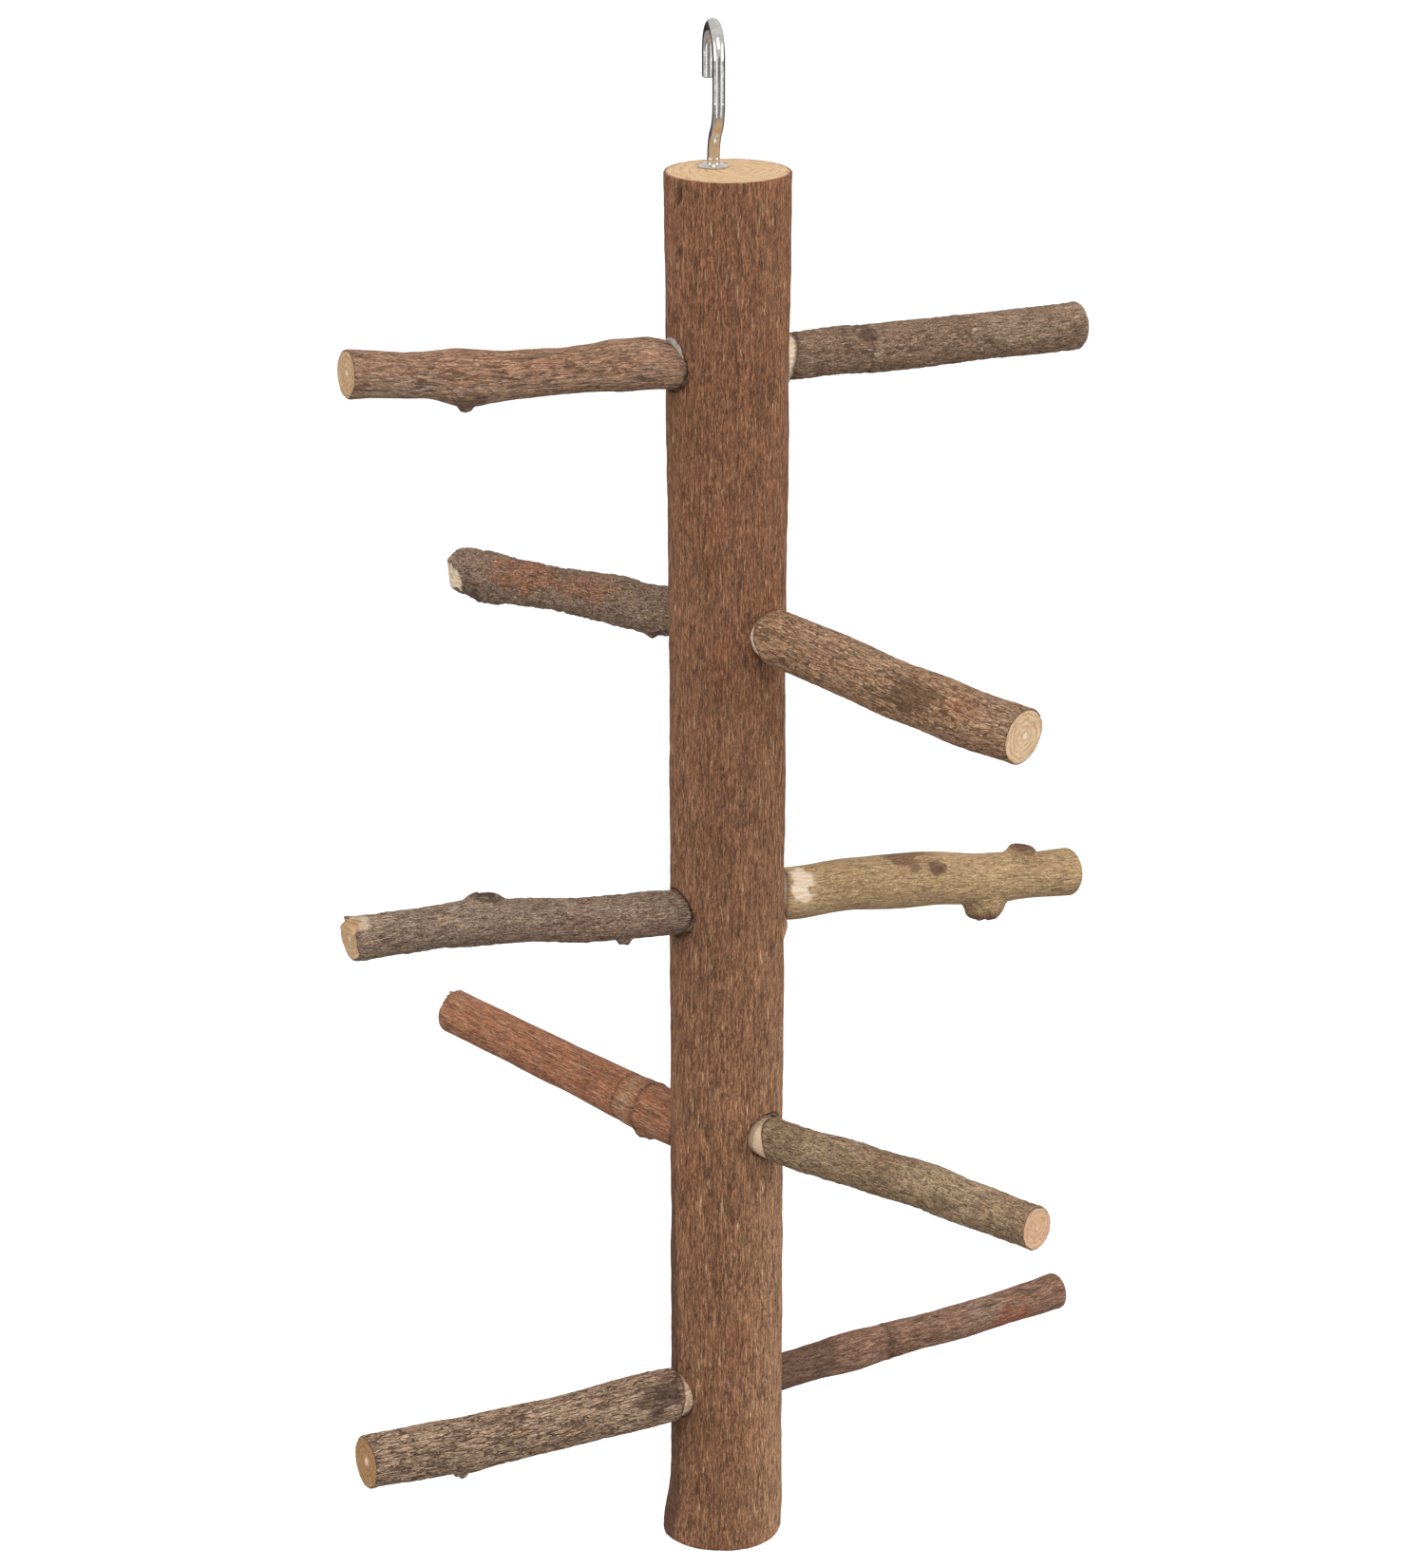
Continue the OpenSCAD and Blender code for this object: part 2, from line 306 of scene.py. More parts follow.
def bark_patterns(sheet, grain, drawn, net, shift):
    """The noises that a bark is made of, by name. drawn says how far they stretch along the grain."""
    long_grain = sheet.stretch(grain, drawn[0], 1.0, shift)
    short_grain = sheet.stretch(grain, drawn[1], 1.0, shift)
    mottle = sheet.cloud(short_grain, 1.5, 5.0, 0.8, 0.4)
    strand = sheet.cloud(long_grain, 2.3, 4.0, 0.75, 0.3)
    crack, lip = plate_net(sheet, short_grain, long_grain, strand, mottle, net)
    return {
        "slow": sheet.cloud(short_grain, 0.15, 7.0, 0.72),
        "mottle": mottle,
        "strand": strand,
        "grit": sheet.cloud(short_grain, 2.8, 3.0, 0.8),
        "wide_slit": sheet.range(sheet.cloud(long_grain, 1.5, 3.0, 0.66, 0.5), 0.425, 0.37),
        "thin_slit": sheet.range(sheet.cloud(long_grain, 2.8, 2.0, 0.6, 0.6), 0.44, 0.37),
        "sliver": sheet.range(sheet.cloud(long_grain, 2.5, 3.0, 0.65, 0.5), 0.565, 0.63),
        "splinter": sheet.range(sheet.cloud(long_grain, 1.3, 2.0, 0.5, 0.4), 0.665, 0.7, 0.0, 0.75),
        "crack": crack,
        "lip": lip,
    }


def bark_colour(sheet, seen, bark, wood, fleck, red, pale, dark, cracks, flecks, contrast):
    """Slow clouds choose the tone; the finer patterns and the mesh's own fields are laid over it."""
    mottle, strand, grit = seen["mottle"], seen["strand"], seen["grit"]
    high = sheet.read("ridge")
    colour = sheet.ramp(seen["slow"], list(zip((0.22, 0.42, 0.58, 0.8), bark)))
    colour = sheet.over(
        colour,
        (sheet.range(high, 0.55, 1.0, 0.0, 0.2), bark[3]),
        (sheet.range(high, 0.4, 0.0, 0.0, 0.2), bark[0]),
        (sheet.range(mottle, 0.52, 0.7, 0.0, 0.22), bark[3]),
        (sheet.range(mottle, 0.48, 0.32, 0.0, 0.22), bark[0]),
        (sheet.range(strand, 0.52, 0.62, 0.0, 0.5), bark[3]),
        (sheet.range(strand, 0.48, 0.38, 0.0, 0.5), bark[0]),
        (sheet.times(sheet.read("red"), sheet.range(mottle, 0.35, 0.6, 0.35, 1.0)), red),
        (sheet.times(sheet.read("pale"), sheet.range(grit, 0.35, 0.6, 0.35, 1.0)), pale),
        (sheet.times(seen["wide_slit"], cracks), dark),
        (sheet.times(seen["thin_slit"], cracks), dark),
        (seen["lip"], fleck),
        (seen["crack"], dark),
        (sheet.range(grit, 0.42, 0.35, 0.0, 0.5), dark),
        (sheet.times(seen["sliver"], flecks), fleck),
        (sheet.range(grit, 0.58, 0.65, 0.0, flecks), fleck),
        (seen["splinter"], wood[0]),
        (sheet.times(sheet.read("dark"), sheet.range(mottle, 0.7, 0.4, 0.7, 1.0)), dark),
        (sheet.times(sheet.read("crease"), 0.55), dark))
    # Painted fine light and shade over the bark's surface: the strand and grit noises multiply the colour
    shade = sheet.sums("ADD", sheet.times(strand, 0.5), sheet.times(grit, 0.5))
    shade = sheet.range(shade, 0.4, 0.6, 1 - contrast, 1 + contrast)
    return sheet.mix(1.0, colour, shade, "MULTIPLY")


def bark_height(sheet, seen):
    """Height in millimetres: cracks and slits sink, strands, mottle and grit rise."""
    height = sheet.times(seen["thin_slit"], -0.06)
    for pattern, tall in (("wide_slit", -0.12), ("crack", -0.2), ("sliver", 0.05), ("strand", 0.28),
                          ("mottle", 0.3), ("grit", 0.14)):
        height = sheet.sums("MULTIPLY_ADD", seen[pattern], tall, height)
    return height


def bark_material(name, bark, wood, fleck, red, pale, dark, ring_gap=1.6, pith=(0.4, 0.3, 1.0, 0.8),
                  cracks=0.35, flecks=0.5, contrast=0.3, net=0.3, drawn=(0.17, 0.5), shift=0.0):
    """Raw bark over bare wood.

    bark is four tones from dark to light; wood is three tones of sawn wood and the pith's. The mesh's
    own fields say where the bark stands high, is creased, red, pale or dark, and where wood shows.
    """
    sheet = Sheet(name)
    grain = sheet.add("Attribute", attribute_name="grain").outputs["Vector"]
    seen = bark_patterns(sheet, grain, drawn, net, shift)
    colour = bark_colour(sheet, seen, bark, wood, fleck, red, pale, dark, cracks, flecks, contrast)
    # Bare wood, whittled or stripped, has long grain; sawn wood has rings
    fibre = sheet.cloud(sheet.stretch(grain, 0.12, 1.0, shift), 1.6)
    whittled = sheet.mix(sheet.range(fibre, 0.35, 0.6), wood[0], wood[3])
    sawn, sawn_height = sawn_colour(sheet, grain, wood, ring_gap, pith)
    bare = sheet.read("bare")
    colour = sheet.mix(bare, colour, sheet.mix(sheet.read("face"), whittled, sawn))
    skin = sheet.sums("SUBTRACT", 1.0, bare)
    height = sheet.sums("MULTIPLY_ADD", bark_height(sheet, seen), skin, sawn_height)
    sheet.shade(Specular_IOR_Level=0.25)
    return sheet.finish(colour, sheet.range(seen["mottle"], 0.3, 0.7, 0.95, 0.7), height)


def nickel_material():
    """Bright nickel plate: a clean metal with a faint cloud of handling marks in its gloss."""
    sheet = Sheet("bright_nickel")
    place = sheet.add("TexCoord").outputs["Object"]
    cloud = sheet.cloud(place, 420.0)
    tint = sheet.mix(sheet.range(cloud, 0.35, 0.7), "#c9c6c1", "#dedbd6")
    sheet.shade(Metallic=1.0)
    scuffs = sheet.cloud(place, 1800.0, 3.0)
    return sheet.finish(tint, sheet.range(cloud, 0.3, 0.75, 0.1, 0.24), sheet.times(scuffs, 0.01))


def glue_material():
    """Dried clear glue, cloudy with tiny bubbles and wood dust."""
    sheet = Sheet("clear_glue")
    place = sheet.add("TexCoord").outputs["Object"]
    cloud = sheet.cloud(place, 600.0)
    colour = sheet.mix(sheet.range(cloud, 0.3, 0.7), "#a39d92", "#cfcac0")
    sheet.shade(Transmission_Weight=0.35, IOR=1.49)
    return sheet.finish(colour, sheet.range(cloud, 0.3, 0.7, 0.22, 0.42), sheet.times(cloud, 0.15))


# -------- bark relief

def creases(s, x, y, bark, seed):
    """Lengthwise cracks: slits where a noise drawn out along the grain runs low.

    Returns the crack's strength from 0 to 1. A netted bark adds sets that lean across the first.
    """
    long, fine, low = bark["long"], bark["fine"], bark["low"]
    strength = np.zeros(np.shape(s))
    for k in range(2 + bark["net"]):
        lean = (k - 1) * 0.12 * bark["net"]
        line = layered(s / long + k * 9.1, (x + lean * s) / fine, (y - lean * s) / fine, seed + 11 * k, 2)
        kept = 0.4 + 0.6 * step(-0.2, 0.2, noise(s / 22, x / 6, y / 6, seed + 40 + k))
        strength = np.maximum(strength, step(-low, -low - 0.22, line) * kept)
    return strength


def bark_relief(s, x, y, bark, seed):
    """Bark height in millimetres and crack strength: rough layered noise, less the cracks."""
    crack = creases(s, x, y, bark, seed)
    rough = layered(s / bark["grain_long"], x / 2.4, y / 2.4, seed + 60, 3)
    return bark["rough"] * rough - bark["depth"] * crack, crack


BARKS = {
    "pole": dict(long=7, fine=1.0, low=0.36, net=0, depth=0.16, rough=0.11, grain_long=5),
    "fissured": dict(long=7, fine=0.85, low=0.3, net=0, depth=0.22, rough=0.12, grain_long=5),
    "smooth": dict(long=9, fine=0.9, low=0.5, net=0, depth=0.1, rough=0.07, grain_long=8),
    "rough": dict(long=3.5, fine=0.85, low=0.4, net=0, depth=0.18, rough=0.2, grain_long=2.2),
    "bumpy": dict(long=3.5, fine=0.85, low=0.4, net=0, depth=0.2, rough=0.4, grain_long=1.8),
    "netted": dict(long=3.6, fine=0.62, low=0.2, net=1, depth=0.28, rough=0.11, grain_long=3),
    "soft_net": dict(long=3.4, fine=0.72, low=0.3, net=1, depth=0.2, rough=0.11, grain_long=3),
}


# -------- the pole

POLE_LOW, POLE_HIGH = (np.array(c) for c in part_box("pole"))
POLE_X, POLE_Y = (POLE_LOW[:2] + POLE_HIGH[:2]) / 2
POLE_TOP = POLE_HIGH[2]
POLE_LENGTH = (POLE_HIGH[2] - POLE_LOW[2]) / MM
POLE_GIRTH = [(0, 17.1), (60, 16.5), (140, 16.0), (330, 15.95), (385, 16.1), (400, 16.7)]
POLE_COLS = 200
TOP_RINGS, FOOT_RINGS = 26, 14
RIM = 0.25
SOCKET_R = 6.2
SOCKET_SINK = 5.0
HOLE_R, HOLE_SINK = 1.78, 19.0


def cap_centre(centres, areas, facing, along, far):
    """The middle of a flat cap: the area-weighted mean of the faces there that point along the axis."""
    cap = (facing > 0.9) & (along > far - 1.5 * MM)
    return (centres[cap] * areas[cap, None]).sum(0) / areas[cap].sum()


def stick_axes(node):
    """A perch's own frame from its CAD solid: the point on the pole's axis, and the unit vectors out along
    the perch, level across it and up across it. The axis runs between the centres of the two flat caps."""
    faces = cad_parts[node].data.polygons
    centres, normals = (np.empty(len(faces) * 3) for _ in range(2))
    areas = np.empty(len(faces))
    faces.foreach_get("center", centres)
    faces.foreach_get("normal", normals)
    faces.foreach_get("area", areas)
    centres, normals = centres.reshape(-1, 3), normals.reshape(-1, 3)
    out = (centres * areas[:, None]).sum(0) / areas.sum()
    out = np.array([out[0] - POLE_X, out[1] - POLE_Y, 0])
    for _ in range(3):
        out /= np.linalg.norm(out)
        along, facing = centres @ out, normals @ out
        root = cap_centre(centres, areas, -facing, -along, -along.min())
        tip = cap_centre(centres, areas, facing, along, along.max())
        out = tip - root
    out /= np.linalg.norm(out)
    back = np.dot(root[:2] - [POLE_X, POLE_Y], out[:2]) / np.dot(out[:2], out[:2])
    up = np.array([0, 0, 1]) - out[2] * out
    up /= np.linalg.norm(up)
    side = np.cross(up, out)
    origin = root - back * out
    return {"origin": origin, "out": out, "side": side, "up": up, "reach": np.dot(tip - origin, out) / MM,
            "depth": (POLE_TOP - origin[2]) / MM, "front": 1 if side[1] < 0 else -1}


STICK_NAMES = [f"perch_{tier}_{side}" for tier in range(1, 6) for side in ("left", "right")]
AXES = {name: stick_axes(name) for name in STICK_NAMES}


def from_front(ax, way):
    """Turns an angle round a perch as seen from the front (0 towards it, 90 up) into its own, or back."""
    return way if ax["front"] > 0 else 180 - way


def carried(ax, out, side, up):
    """Points in metres in the row's frame, from a perch's own distances out, across and up."""
    return ax["origin"] + MM * (out[..., None] * ax["out"] + side[..., None] * ax["side"]
                                + up[..., None] * ax["up"])


def pole_rows():
    """Depths of the rings down the pole, twice as close where the sockets are."""
    fine = np.linspace(0, POLE_LENGTH, 4001)
    density = np.full(fine.shape, 0.8)
    for ax in AXES.values():
        density = np.where(np.abs(fine - ax["depth"]) < 9.5, 2.0, density)
    count = np.concatenate([[0], np.cumsum((density[1:] + density[:-1]) / 2 * np.diff(fine))])
    rows = np.interp(np.arange(0, count[-1]), count, fine)
    return rows[(rows > 0.7) & (rows < POLE_LENGTH - 0.7)]


def pole_grid():
    """Depth, angle and share of the radius over the pole's skin: the top's rings, the side, the foot's."""
    sides = pole_rows()
    depth = np.concatenate([np.zeros(TOP_RINGS), [0.0, RIM], sides, [POLE_LENGTH - RIM, POLE_LENGTH],
                            np.full(FOOT_RINGS, POLE_LENGTH)])
    share = np.concatenate([np.linspace(0.05, 0.965, TOP_RINGS), [0.985, 1], np.ones(len(sides)),
                            [1, 0.985], np.linspace(0.96, 0.05, FOOT_RINGS)])
    d, a = np.meshgrid(depth, angles(POLE_COLS), indexing="ij")
    return d, a, np.broadcast_to(share[:, None], d.shape)


def pole_marks(d, deg):
    """Shares from 0 to 1 of a lifted flake of bark, a slit, a short split under the rim and a low knot."""
    wander = 9 * noise(d / 2, 0 * d, 0 * d, 8)
    return {
        "flake": bump(d, 213, 4.5) * bump(apart(deg, -4), 0, 9),
        "slit": bump(d, 20, 2.6) * bump(apart(deg, -140), 0, 5),
        "split": bump(d, 4.5, 4.5) * bump(apart(deg, -140 + wander), 0, 4.5),
        "knot": bump(d, 302, 5) * bump(apart(deg, -62), 0, 17),
    }


def pole_radius(d, x, y, deg, on_side, relief, marks):
    """Girth and slow lumps, a foot that flares to the left, frayed bark at the saw cuts, and the marks."""
    lump = 0.25 * noise(d / 45, x / 14, y / 14, 3) + 0.22 * noise(d / 12, x / 6, y / 6, 4)
    flare = 1.9 * step(378, 400, d) * bump(apart(deg, 195), 0, 80)
    flare = flare - 0.9 * step(388, 400, d) * bump(apart(deg, -10), 0, 70)
    to_end = np.minimum(d, POLE_LENGTH - d)
    frayed = np.exp(-to_end / 1.2) * 0.25 * noise(x / 1.3, y / 1.3, 0 * d, 9)
    radius = through(d, POLE_GIRTH) + lump + flare + 1.1 * marks["flake"] + 0.35 * marks["knot"]
    return radius + on_side * (relief + frayed - 0.9 * marks["slit"] - 0.8 * marks["split"])


def drill_top(px, py, pz, on_top):
    """The screw's hole: points near it are drawn on to its circle and sunk."""
    hole_x, hole_y = -POLE_X / MM, -POLE_Y / MM
    gap = np.hypot(px - hole_x, py - hole_y)
    sunk = on_top * (gap < 2.0)
    pull = np.where(sunk > 0, np.minimum(1, HOLE_R / np.maximum(gap, 0.01)), 1)
    return hole_x + (px - hole_x) * pull, hole_y + (py - hole_y) * pull, pz - HOLE_SINK * sunk


def open_sockets(skin, on_side):
    """Draws points of the skin on to each socket's rim and sinks those within it.

    skin is in millimetres from the middle of the pole's top. Gives the new skin, where it is sunk, and
    a share that fades out from each rim.
    """
    inside, near = np.zeros(on_side.shape), np.zeros(on_side.shape)
    for name, ax in AXES.items():
        local = skin - (ax["origin"] - [POLE_X, POLE_Y, POLE_TOP]) / MM
        s, across, up = local @ ax["out"], local @ ax["side"], local @ ax["up"]
        mouth, way, off = LOOKS[name].get("mouth", (SOCKET_R, 0, 0))
        way = math.radians(from_front(ax, way))
        across, up = across - off * math.cos(way), up - off * math.sin(way)
        away, turn = np.hypot(across, up), np.arctan2(up, across)
        rim = mouth + 0.15 * noise(3 * np.cos(turn), 3 * np.sin(turn), 0 * turn, 70)
        facing = (s > 5) * on_side
        snap = facing * (np.abs(away - rim) < 0.36)
        pull = np.where(snap > 0, rim / np.maximum(away, 0.1), 1) - 1
        sink = facing * (away < rim - 0.3)
        skin = skin + (across * pull)[..., None] * ax["side"] + (up * pull)[..., None] * ax["up"]
        skin = skin - SOCKET_SINK * sink[..., None] * ax["out"]
        inside = np.maximum(inside, sink)
        near = np.maximum(near, facing * np.exp(-np.maximum(away - rim, 0) / 0.7) * (away > rim - 0.4))
    return skin, inside, near


def pole_tones(d, x, y, deg, marks, near):
    """Where the pole is red, pale or dark, painted light and shade included: broad fields, its two ends and
    the marks.
    """
    red = 0.5 * step(0.1, 0.5, noise(d / 26, x / 9, y / 9, 31))
    red = red * step(-0.2, 0.3, noise(d / 60, x / 20, y / 20, 32))
    red = np.maximum(red, 0.3 * step(220, 40, d) * bump(apart(deg, -100), 0, 120))
    red = np.maximum(red, 0.9 * np.exp(-np.minimum(d, POLE_LENGTH - d) / 0.9))
    ragged = 0.35 * layered(d / 8, x / 4, y / 4, 33, 3)
    strip = np.abs(apart(deg, 192)) / (17 + 12 * step(290, 390, d))
    grey = step(262, 300, d) * step(0.95, 0.6, strip + ragged)
    # Painted light: the right side is made paler towards the foot, plus the pale of the lifted flake
    painted_light_and_flake = 0.9 * step(150, 330, d) * bump(apart(deg, -15), 0, 75) + marks["flake"]
    # Painted shade: the front of the pole is darkened over its upper part
    painted_shade = 0.22 * step(300, 150, d) * bump(apart(deg, -95), 0, 90)
    dark = 0.75 * grey + marks["slit"] + 1.3 * marks["split"] + 0.35 * near + painted_shade
    return red, np.clip(painted_light_and_flake, 0, 1), np.clip(dark, 0, 1)


def build_pole():
    """A round bar whose radius follows the girth points, plus bark relief; its sockets are rings of points
    drawn on to the drilled circle, with the points inside them sunk; both ends are sawn flat."""
    d, a, w = pole_grid()
    deg = np.degrees(a)
    on_side = (w == 1).astype(float)
    flat = 1 - on_side
    girth = through(d, POLE_GIRTH)
    x, y = girth * np.cos(a), girth * np.sin(a)
    relief, crack = bark_relief(d, x, y, BARKS["pole"], 2)
    marks = pole_marks(d, deg)
    radius = w * pole_radius(d, x, y, deg, on_side, relief, marks)
    px, py = radius * np.cos(a), radius * np.sin(a)
    saw = 0.05 * noise((px + 0.3 * py) / 0.8, (py - 0.3 * px) / 14, 0 * d, 21)
    saw = saw + 0.05 * noise(px / 1.6, py / 1.6, 0 * d, 22)
    pz = flat * saw * np.where(d < 1, 1, -1) - d
    px, py, pz = drill_top(px, py, pz, flat * (d < 1))
    skin, inside, near = open_sockets(np.stack([px, py, pz], -1), on_side)
    red, pale, dark = pole_tones(d, x, y, deg, marks, near)
    fields = {
        "grain": np.stack([-d, skin[..., 0], skin[..., 1]], -1),
        "ridge": np.clip(0.5 + relief * on_side, 0, 1),
        "crease": crack * on_side,
        "red": red * on_side,
        "pale": pale,
        "dark": dark,
        "bare": np.maximum(flat * step(0.975, 0.955, w), inside),
        "face": flat * (1 - inside),
    }
    place = skin * MM + [POLE_X, POLE_Y, POLE_TOP]
    return grid_mesh("pole_bark", place[::-1], {key: value[::-1] for key, value in fields.items()})


# -------- the perches

PERCH_COLS = 160
PERCH_STEP = 0.36
PERCH_ROOT = 11.5
FACE_RINGS = 26


def perch_rows(reach, look):
    """Rows along a perch: distance out, share of the radius, and 1 on the side or 0 on the two ends."""
    worn = look.get("worn", 0)
    tip = look.get("tip_break", 0.5)
    along = np.arange(PERCH_ROOT, reach - max(worn, tip), PERCH_STEP)
    if worn:
        turn = np.radians(np.linspace(0, 84, 16))
        tip_s = reach - worn + worn * np.sin(turn)
        tip_w = 1 - (1 - np.cos(turn)) * look["blunt"]
    else:
        tip_s = reach - tip * np.array([1, 0.5, 0.12, 0])
        tip_w = np.array([1, 0.992, 0.978, 0.955])
    face_w = np.linspace(tip_w[-1], 0.04, FACE_RINGS)[1:]
    rows_s = np.concatenate([[PERCH_ROOT] * 3, along, tip_s, np.full(len(face_w), reach)])
    rows_w = np.concatenate([[0.3, 0.7, 1], np.ones(len(along)), tip_w, face_w])
    on_side = np.concatenate([[0, 0, 1], np.ones(len(along) + len(tip_s)), np.zeros(len(face_w))])
    return rows_s, rows_w, on_side


class Stick:
    """The grid of a perch's skin: s out along it, a and deg round it, w the share of its radius, side 1
    on the side and 0 on the ends, and the girth, x and y of the bare bar."""

    def __init__(self, ax, look):
        self.ax, self.look = ax, look
        self.reach, self.seed = ax["reach"], look["seed"]
        rows_s, rows_w, on_side = perch_rows(self.reach, look)
        self.s, self.a = np.meshgrid(rows_s, angles(PERCH_COLS), indexing="ij")
        self.w, self.side = (np.broadcast_to(row[:, None], self.s.shape) for row in (rows_w, on_side))
        self.deg = from_front(ax, np.degrees(self.a))
        self.girth = through(self.s, look["girth"])
        self.x, self.y = self.girth * np.cos(self.a), self.girth * np.sin(self.a)
        self.fields = {key: np.zeros(self.s.shape) for key in ("red", "pale", "dark", "bare")}

    def stain(self, field, share):
        """Raises a field to a share wherever it is lower."""
        self.fields[field] = np.maximum(self.fields[field], share)

    def gnarls(self, long, across, seed):
        return layered(self.s / long, self.x / across, self.y / across, self.seed + seed, 3)

    def round_noise(self, pitch, seed):
        """Noise that varies only round the stick."""
        return noise(pitch * np.cos(self.a), pitch * np.sin(self.a), 0 * self.a, self.seed + seed)


def plane_cut(radius, s, a, way, cut):
    """Shaves a stick back to a plane: its normal leans lean degrees from straight out of the bark at the
    given way round towards the tip, and it passes through the point at s and radius."""
    lean, way = math.radians(cut["lean"]), math.radians(way)
    normal = np.array([math.sin(lean), math.cos(lean) * math.cos(way), math.cos(lean) * math.sin(way)])
    distance = normal[0] * cut["s"] + math.cos(lean) * cut["radius"]
    facing = normal[1] * np.cos(a) + normal[2] * np.sin(a)
    reach = (distance - normal[0] * s) / np.maximum(facing, 0.02)
    hit = (facing > 0.02) & (reach < radius)
    return np.where(hit, np.maximum(reach, 0.3), radius), hit.astype(float)


def add_swells(stick, radius):
    """Buds and swellings, and rings where a bud scale sat."""
    for at, way, long, wide, high in stick.look.get("swells", ()):
        radius = radius + high * bump(stick.s, at, long) * bump(apart(stick.deg, way), 0, wide)
    for at, half, high, shade in stick.look.get("rings", ()):
        wavy = at + 0.9 * stick.round_noise(2, 7)
        ring = np.exp(-((stick.s - wavy) / half) ** 2)
        radius = radius + high * ring
        stick.stain(shade, 0.6 * ring)
    return radius


def add_patches(stick):
    """Ragged patches of another tone, or of bare wood."""
    for shade, at, way, long, wide, much in stick.look.get("patches", ()):
        spread = np.hypot((stick.s - at) / long, apart(stick.deg, way) / wide)
        stick.stain(shade, much * step(1.1, 0.75, spread + 0.55 * stick.gnarls(5, 3.5, 17)))


def add_stubs(stick, radius):
    """Cut-off side twigs: a raised, gnarled foot with a ring round its top."""
    for at, way, long, wide, high, top in stick.look.get("stubs", ()):
        gnarl = stick.gnarls(2.2, 1.6, 23)
        spread = np.hypot((stick.s - at) / long, np.radians(apart(stick.deg, way)) * stick.girth / wide)
        body = step(1.75, 0.8, spread + 0.18 * gnarl)
        cap = step(0.86, 0.7, spread + 0.15 * gnarl)
        radius = radius + (high + 0.3 * gnarl) * body + 0.25 * gnarl * cap
        stick.stain(top, cap)
        stick.stain("dark", 0.8 * step(0.7, 0.95, spread) * step(1.25, 1.0, spread))
    return radius


def shave(stick, radius):
    """Planes shaved off the side, which leave bare wood."""
    for cut in stick.look.get("cuts", ()):
        radius, hit = plane_cut(radius, stick.s, stick.a, from_front(stick.ax, cut["way"]), cut)
        stick.stain("bare", hit)
    return radius


def whittle_root(stick, radius):
    """Cuts the stick down to its tenon below a ragged edge of bark, which follows the pole's side.

    Gives the radius and the share of bark that is left.
    """
    s, a, girth, look = stick.s, stick.a, stick.girth, stick.look
    hug = np.sqrt(through(stick.ax["depth"], POLE_GIRTH) ** 2 - (girth * np.cos(a)) ** 2)
    edge = hug + look.get("gap", 0.5) + 0.35 * stick.round_noise(2.4, 3)
    for way, wide, far in look.get("shaved_roots", ()):
        edge = edge + far * bump(apart(stick.deg, way), 0, wide)
    barked = step(edge - 0.25, edge + 0.35, s)
    facets = look["tenon"] * (1 + 0.03 * np.abs(np.sin(3.5 * a + stick.seed)) - 0.02)
    cone = facets + (girth - 0.5 - facets) * step(hug - 1.4, edge + 0.2, s)
    stick.stain("dark", 0.7 * np.exp(-((s - edge - 0.5) / 0.45) ** 2))
    stick.stain("bare", 1 - barked)
    return cone + (radius - cone) * barked, barked


def shape_tip(stick, cy, cz):
    """How far out each point lies once the tip is done: rough end grain, a slant, a torn rim and bites."""
    s, a, w, reach, look = stick.s, stick.a, stick.w, stick.reach, stick.look
    saw = 0.12 * noise(cy / 1.2, cz / 1.2, 0 * s, stick.seed + 31)
    saw = saw + 0.07 * noise((cy + cz) / 0.7, (cy - cz) / 8, 0 * s, stick.seed + 32)
    lean = look.get("slant", 0) * cz * step(reach - 14, reach, s)
    fibres = np.maximum(0, noise(a * 9, 0 * a, 0 * a, stick.seed + 41)) * bump(apart(stick.deg, 95), 0, 75)
    torn = look.get("torn", 0) * step(reach - 1.5, reach, s) * step(0.8, 0.97, w) * fibres
    bite = np.zeros(s.shape)
    for way, wide, deep in look.get("bites", ()):
        notch = bump(apart(stick.deg, way), 0, wide) * step(0.35, 0.9, w)
        bite = np.maximum(bite, deep * notch * step(reach - 5, reach, s))
    bite = bite * (1 + 0.5 * noise(cy / 2, cz / 2, 0 * s, stick.seed + 35))
    return s + lean + (1 - stick.side) * (s > reach - 1) * saw + torn - bite


def build_perch(name, look):
    """A stick lofted along s. Its radius eases through the girth points, with bark relief, buds, stubs and
    shaved planes added; below the ragged bark edge it is whittled down to the tenon, and the far end is
    sawn square or worn round. Its centre line rises through the line points."""
    stick = Stick(AXES[name], look)
    s, a, w, seed, reach = stick.s, stick.a, stick.w, stick.seed, stick.reach
    oval = stick.girth * 0.025 * np.cos(2 * a + seed)
    lump = look["lumps"] * noise(s / 17, stick.x / 7, stick.y / 7, seed + 1) * 1.4
    relief, crack = bark_relief(s, stick.x, stick.y, BARKS[look["bark"]], seed)
    radius = stick.girth + oval + lump + relief * stick.side
    radius = add_swells(stick, radius)
    add_patches(stick)
    radius = shave(stick, add_stubs(stick, radius))
    radius, barked = whittle_root(stick, radius)
    face = step(0.955, 0.93, w) * (s > reach - 3)
    if "worn" in look:
        face = 0 * face
    else:
        stick.stain("dark", 0.8 * bump(w, 0.955, 0.03) * (s > reach - 1))
    chipped = (s > reach - 2) * step(0.1, 0.5, stick.round_noise(3, 29))
    radius = w * radius * (1 - 0.02 * look.get("chips", 0) * chipped)
    cy, cz = radius * np.cos(a), radius * np.sin(a)
    out = shape_tip(stick, cy, cz)
    stick.stain("bare", face)
    stick.fields.update({
        "grain": np.stack([out + 37.0 * seed, cy, cz], -1),
        "ridge": np.clip(0.5 + 1.1 * relief * stick.side, 0, 1),
        "crease": crack * barked * stick.side,
        "face": face,
    })
    place = carried(stick.ax, out, cy, cz + through(s, look["line"]))
    return grid_mesh(name + "_bark", place, stick.fields)


GLUE_COLS, GLUE_RING = 96, 14


